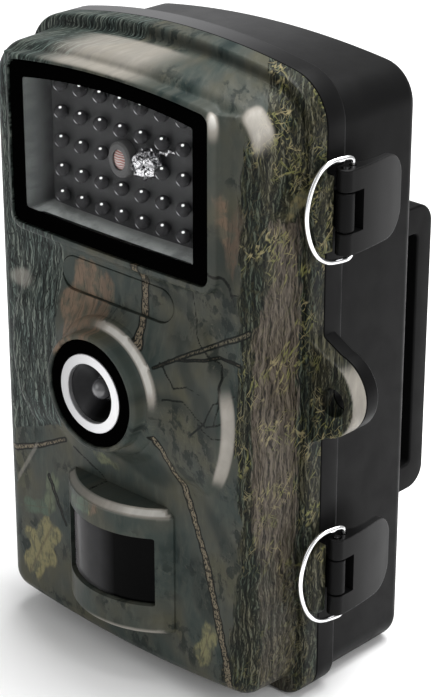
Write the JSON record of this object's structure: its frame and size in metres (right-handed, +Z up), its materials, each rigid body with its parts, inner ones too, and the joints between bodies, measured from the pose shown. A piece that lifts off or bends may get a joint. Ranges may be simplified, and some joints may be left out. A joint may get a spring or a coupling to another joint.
{
  "type": "trail camera",
  "caption": "Rectangular trail camera in a hinged camouflage case, with an infrared window, ringed lens, motion sensor, wire latches, padlock ear and strap bracket.",
  "frame": {"origin": "on the flat underside, at the middle of the rear case, 14 mm behind the seam where the two shells meet", "axes": "+Z up the case, -Y the way the lens looks, +X towards the latches, to the right of someone facing the lens"},
  "size_m": [0.0929, 0.0665, 0.1347],
  "materials": {
    "camouflage": "bark and branch camouflage film under a satin clear coat",
    "satin_black": "satin, fine moulded grain",
    "gloss_black": "polished",
    "clear_plastic": "polished clear plastic with a black border printed behind it",
    "grey_plastic": "matt",
    "circuit_board": "dark solder mask",
    "photocell_amber": "clear resin over a light cell",
    "bright_steel": "bright nickel plate",
    "satin_silver": "fine turned satin",
    "glass": "coated lens glass",
    "brass": "turned",
    "seal_rubber": "soft matt rubber",
    "cell_wrap": "printed sleeve, plain"
  },
  "bodies": {
    "case": {"rear_case": "satin_black", "gasket": "seal_rubber", "strap_bracket": "satin_black", "bracket_screw_left_lower": "bright_steel", "bracket_screw_left_upper": "bright_steel", "bracket_screw_right_lower": "bright_steel", "bracket_screw_right_upper": "bright_steel", "tripod_insert": "brass", "port_plug": "seal_rubber", "dc_jack": "satin_black", "battery_tray": "satin_black", "battery_1": "cell_wrap", "battery_2": "cell_wrap", "battery_3": "cell_wrap", "battery_4": "cell_wrap", "upper_contact_left": "bright_steel", "upper_contact_right": "bright_steel", "lower_contact_left": "bright_steel", "lower_contact_middle": "bright_steel", "lower_contact_right": "bright_steel", "upper_hinge_pin": "bright_steel", "lower_hinge_pin": "bright_steel", "upper_latch_pin": "bright_steel", "lower_latch_pin": "bright_steel"},
    "door": {"front_cover": "camouflage", "ir_window": "clear_plastic", "ir_tray": "grey_plastic", "ir_led_board": "circuit_board", "photocell": "photocell_amber", "board_screw": "bright_steel", "lens_bezel": "gloss_black", "lens_trim_ring": "satin_silver", "lens_hood": "satin_black", "lens_glass": "glass", "lens_barrel": "satin_black", "sensor_board": "circuit_board", "pir_window": "gloss_black", "pir_sensor": "bright_steel", "indicator_cover": "camouflage", "main_board": "circuit_board", "door_panel": "satin_black", "lcd_screen": "gloss_black", "speaker": "satin_black", "card_socket": "bright_steel", "panel_screw_left_lower": "bright_steel", "panel_screw_left_upper": "bright_steel", "panel_screw_right_lower": "bright_steel", "panel_screw_right_upper": "bright_steel"},
    "up_button": {"up_button": "grey_plastic"},
    "down_button": {"down_button": "grey_plastic"},
    "left_button": {"left_button": "grey_plastic"},
    "right_button": {"right_button": "grey_plastic"},
    "ok_button": {"ok_button": "grey_plastic"},
    "menu_button": {"menu_button": "grey_plastic"},
    "power_switch": {"power_switch": "grey_plastic"},
    "memory_card": {"memory_card": "satin_black"},
    "upper_lever": {"upper_latch_lever": "satin_black"},
    "upper_bail": {"upper_latch_bail": "bright_steel"},
    "lower_lever": {"lower_latch_lever": "satin_black"},
    "lower_bail": {"lower_latch_bail": "bright_steel"}
  },
  "joints": [
    {"name": "door_hinge", "type": "hinge", "parent": "case", "child": "door", "pos_m": [-0.041, -0.014, 0.068], "axis": [0, 0, -1], "range_deg": [0, 100]},
    {"name": "upper_lever_pivot", "type": "hinge", "parent": "case", "child": "upper_lever", "pos_m": [0.0419, -0.0127, 0.1067], "axis": [0, 0, -1], "range_deg": [0, 100]},
    {"name": "upper_bail_pivot", "type": "hinge", "parent": "upper_lever", "child": "upper_bail", "pos_m": [0.0417, -0.0106, 0.1067], "axis": [0, 0, 1], "range_deg": [0, 170]},
    {"name": "lower_lever_pivot", "type": "hinge", "parent": "case", "child": "lower_lever", "pos_m": [0.0419, -0.0127, 0.0292], "axis": [0, 0, -1], "range_deg": [0, 100]},
    {"name": "lower_bail_pivot", "type": "hinge", "parent": "lower_lever", "child": "lower_bail", "pos_m": [0.0417, -0.0106, 0.0292], "axis": [0, 0, 1], "range_deg": [0, 170]},
    {"name": "up_button_press", "type": "slide", "parent": "door", "child": "up_button", "axis": [0, -1, 0], "range_m": [0, 0.0005], "stiffness_N_per_m": 150},
    {"name": "down_button_press", "type": "slide", "parent": "door", "child": "down_button", "axis": [0, -1, 0], "range_m": [0, 0.0005], "stiffness_N_per_m": 150},
    {"name": "left_button_press", "type": "slide", "parent": "door", "child": "left_button", "axis": [0, -1, 0], "range_m": [0, 0.0005], "stiffness_N_per_m": 150},
    {"name": "right_button_press", "type": "slide", "parent": "door", "child": "right_button", "axis": [0, -1, 0], "range_m": [0, 0.0005], "stiffness_N_per_m": 150},
    {"name": "ok_button_press", "type": "slide", "parent": "door", "child": "ok_button", "axis": [0, -1, 0], "range_m": [0, 0.0005], "stiffness_N_per_m": 150},
    {"name": "menu_button_press", "type": "slide", "parent": "door", "child": "menu_button", "axis": [0, -1, 0], "range_m": [0, 0.0005], "stiffness_N_per_m": 150},
    {"name": "power_switch_slide", "type": "slide", "parent": "door", "child": "power_switch", "axis": [1, 0, 0], "range_m": [0, 0.007]},
    {"name": "memory_card_slide", "type": "slide", "parent": "door", "child": "memory_card", "axis": [0, 1, 0], "range_m": [0, 0.011]}
  ],
  "couplings": [
    {"joint": "upper_lever_pivot", "follows": "door_hinge", "ratio": 1},
    {"joint": "upper_bail_pivot", "follows": "door_hinge", "ratio": 1.7},
    {"joint": "lower_lever_pivot", "follows": "door_hinge", "ratio": 1},
    {"joint": "lower_bail_pivot", "follows": "door_hinge", "ratio": 1.7}
  ]
}
